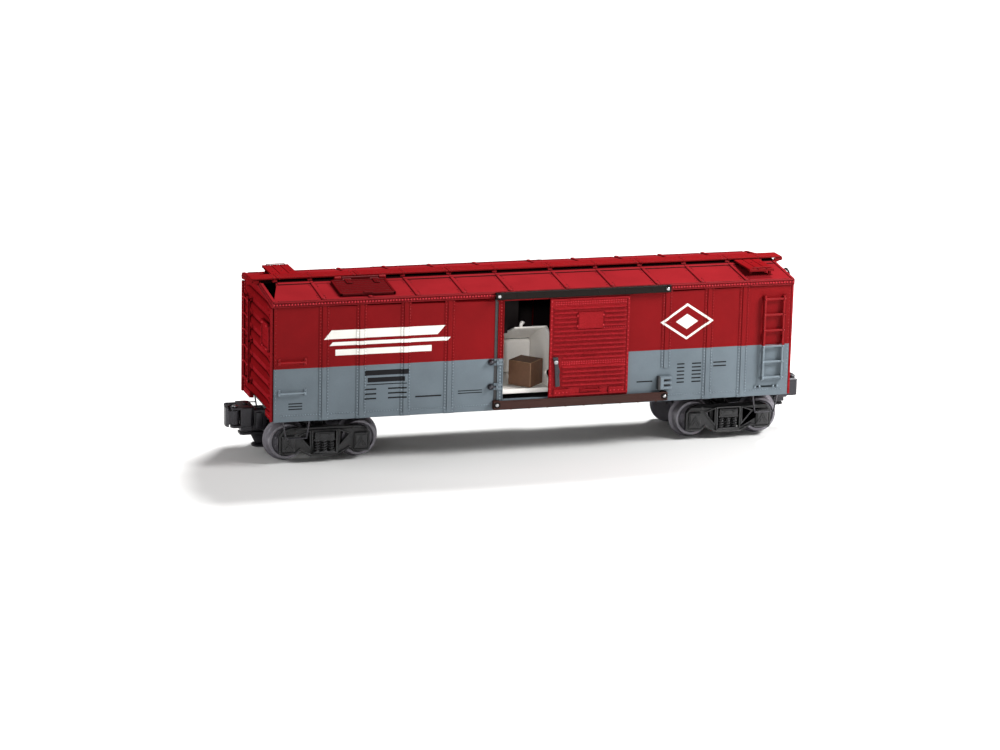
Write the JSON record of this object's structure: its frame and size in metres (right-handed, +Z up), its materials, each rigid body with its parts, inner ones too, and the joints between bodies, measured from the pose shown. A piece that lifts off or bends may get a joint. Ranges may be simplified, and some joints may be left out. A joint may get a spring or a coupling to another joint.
{
  "type": "model box car",
  "caption": "O-gauge model box car with sliding doors, a roof hatch, a cube dispenser behind the open door, and swivelling trucks with knuckle couplers.",
  "frame": {"origin": "under the middle of the car, level with the bottoms of the wheel flanges", "axes": "+X along the car, towards the end with the brake wheel; -Y towards the side with the partly open door and the loading hatch; +Z up"},
  "size_m": [0.3052, 0.0716, 0.0905],
  "materials": {
    "car_red": "painted red, satin, with a blue-grey band along the lower part",
    "black_plastic": "satin black",
    "black_metal": "satin black",
    "wheel_metal": "dark, with bright rims",
    "bright_steel": "satin",
    "white_plastic": "satin white",
    "coil_winding": "enamelled copper wire",
    "dark_plastic": "matt dark grey",
    "brown_plastic": "matt brown with lighter edges"
  },
  "bodies": {
    "car": {"body_side_front": "car_red", "body_side_rear": "car_red", "body_end_left": "car_red", "body_end_right": "car_red", "roof": "car_red", "roof_walk": "car_red", "lateral_board_front": "car_red", "lateral_board_rear": "car_red", "ladder_side_front": "car_red", "ladder_side_rear": "car_red", "ladder_end_left": "car_red", "ladder_end_right": "car_red", "tack_board_left": "car_red", "tack_board_right": "car_red", "grab_iron_front_lower": "car_red", "grab_iron_front_upper": "car_red", "grab_iron_rear_lower": "car_red", "grab_iron_rear_upper": "car_red", "guide_top_front": "black_plastic", "guide_top_rear": "black_plastic", "guide_bottom_front": "black_plastic", "guide_bottom_rear": "black_plastic", "underframe": "black_metal", "step_front_left": "black_metal", "step_front_right": "black_metal", "step_rear_left": "black_metal", "step_rear_right": "black_metal", "brake_housing": "black_metal", "hatch_pin": "bright_steel", "kingpin_left": "bright_steel", "kingpin_right": "bright_steel", "kicker_pin": "bright_steel", "solenoid_frame": "bright_steel", "merchandise_bin": "white_plastic", "solenoid_coil": "coil_winding", "magazine_chute": "dark_plastic"},
    "door_front": {"door_front": "car_red", "door_latch_front": "black_metal"},
    "door_rear": {"door_rear": "car_red", "door_latch_rear": "black_metal"},
    "roof_hatch": {"roof_hatch": "car_red"},
    "truck_left": {"truck_frame_left": "black_plastic", "coupler_head_left": "black_metal", "knuckle_pin_left": "bright_steel"},
    "truck_right": {"truck_frame_right": "black_plastic", "coupler_head_right": "black_metal", "knuckle_pin_right": "bright_steel"},
    "wheelset_left_inner": {"wheelset_left_inner": "wheel_metal"},
    "wheelset_left_outer": {"wheelset_left_outer": "wheel_metal"},
    "wheelset_right_inner": {"wheelset_right_inner": "wheel_metal"},
    "wheelset_right_outer": {"wheelset_right_outer": "wheel_metal"},
    "knuckle_left": {"knuckle_left": "black_metal"},
    "knuckle_right": {"knuckle_right": "black_metal"},
    "trip_plate_left": {"trip_plate_left": "black_metal"},
    "trip_plate_right": {"trip_plate_right": "black_metal"},
    "plunger": {"plunger": "bright_steel"},
    "kicker": {"kicker": "white_plastic"},
    "merchandise_cube": {"merchandise_cube": "brown_plastic"},
    "brake_wheel": {"brake_wheel": "black_metal"}
  },
  "joints": [
    {"name": "door_front_slide", "type": "slide", "parent": "car", "child": "door_front", "axis": [1, 0, 0], "range_m": [-0.0239, 0.016]},
    {"name": "door_rear_slide", "type": "slide", "parent": "car", "child": "door_rear", "axis": [-1, 0, 0], "range_m": [0, 0.0399]},
    {"name": "roof_hatch_hinge", "type": "hinge", "parent": "car", "child": "roof_hatch", "pos_m": [-0.087, -0.0078, 0.0894], "axis": [-1, 0, 0], "range_deg": [0, 100]},
    {"name": "truck_left_swivel", "type": "hinge", "parent": "car", "child": "truck_left", "pos_m": [-0.1068, 0, 0.0205], "axis": [0, 0, 1], "range_deg": [-15, 15]},
    {"name": "truck_right_swivel", "type": "hinge", "parent": "car", "child": "truck_right", "pos_m": [0.1068, 0, 0.0205], "axis": [0, 0, 1], "range_deg": [-15, 15]},
    {"name": "axle_left_inner", "type": "hinge", "parent": "truck_left", "child": "wheelset_left_inner", "pos_m": [-0.0883, 0, 0.0109], "axis": [0, 1, 0], "continuous": true},
    {"name": "axle_left_outer", "type": "hinge", "parent": "truck_left", "child": "wheelset_left_outer", "pos_m": [-0.1253, 0, 0.0109], "axis": [0, 1, 0], "continuous": true},
    {"name": "axle_right_inner", "type": "hinge", "parent": "truck_right", "child": "wheelset_right_inner", "pos_m": [0.0883, 0, 0.0109], "axis": [0, 1, 0], "continuous": true},
    {"name": "axle_right_outer", "type": "hinge", "parent": "truck_right", "child": "wheelset_right_outer", "pos_m": [0.1253, 0, 0.0109], "axis": [0, 1, 0], "continuous": true},
    {"name": "knuckle_left_hinge", "type": "hinge", "parent": "truck_left", "child": "knuckle_left", "pos_m": [-0.148, -0.0048, 0.0206], "axis": [0, 0, 1], "range_deg": [0, 40]},
    {"name": "trip_plate_left_hinge", "type": "hinge", "parent": "truck_left", "child": "trip_plate_left", "pos_m": [-0.1448, 0, 0.0113], "axis": [0, 1, 0], "range_deg": [0, 6], "stiffness_Nm_per_rad": 0.002, "springref_deg": -17.19},
    {"name": "knuckle_right_hinge", "type": "hinge", "parent": "truck_right", "child": "knuckle_right", "pos_m": [0.148, 0.0048, 0.0206], "axis": [0, 0, 1], "range_deg": [0, 40]},
    {"name": "trip_plate_right_hinge", "type": "hinge", "parent": "truck_right", "child": "trip_plate_right", "pos_m": [0.1448, 0, 0.0113], "axis": [0, -1, 0], "range_deg": [0, 6], "stiffness_Nm_per_rad": 0.002, "springref_deg": -17.19},
    {"name": "plunger_slide", "type": "slide", "parent": "car", "child": "plunger", "axis": [0, -1, 0], "range_m": [0, 0.0052], "stiffness_N_per_m": 30, "springref_m": -0.003},
    {"name": "kicker_hinge", "type": "hinge", "parent": "car", "child": "kicker", "pos_m": [-0.0042, 0.0054, 0.0494], "axis": [-1, 0, 0], "range_deg": [0, 36]},
    {"name": "merchandise_cube_slide", "type": "slide", "parent": "car", "child": "merchandise_cube", "axis": [-0.33, -0.944, 0], "range_m": [0, 0.03]},
    {"name": "brake_wheel_spin", "type": "hinge", "parent": "car", "child": "brake_wheel", "pos_m": [0.14, -0.0126, 0.0804], "axis": [1, 0, 0], "continuous": true}
  ],
  "couplings": [
    {"joint": "kicker_hinge", "follows": "plunger_slide", "rad_per_m": 117.3}
  ]
}
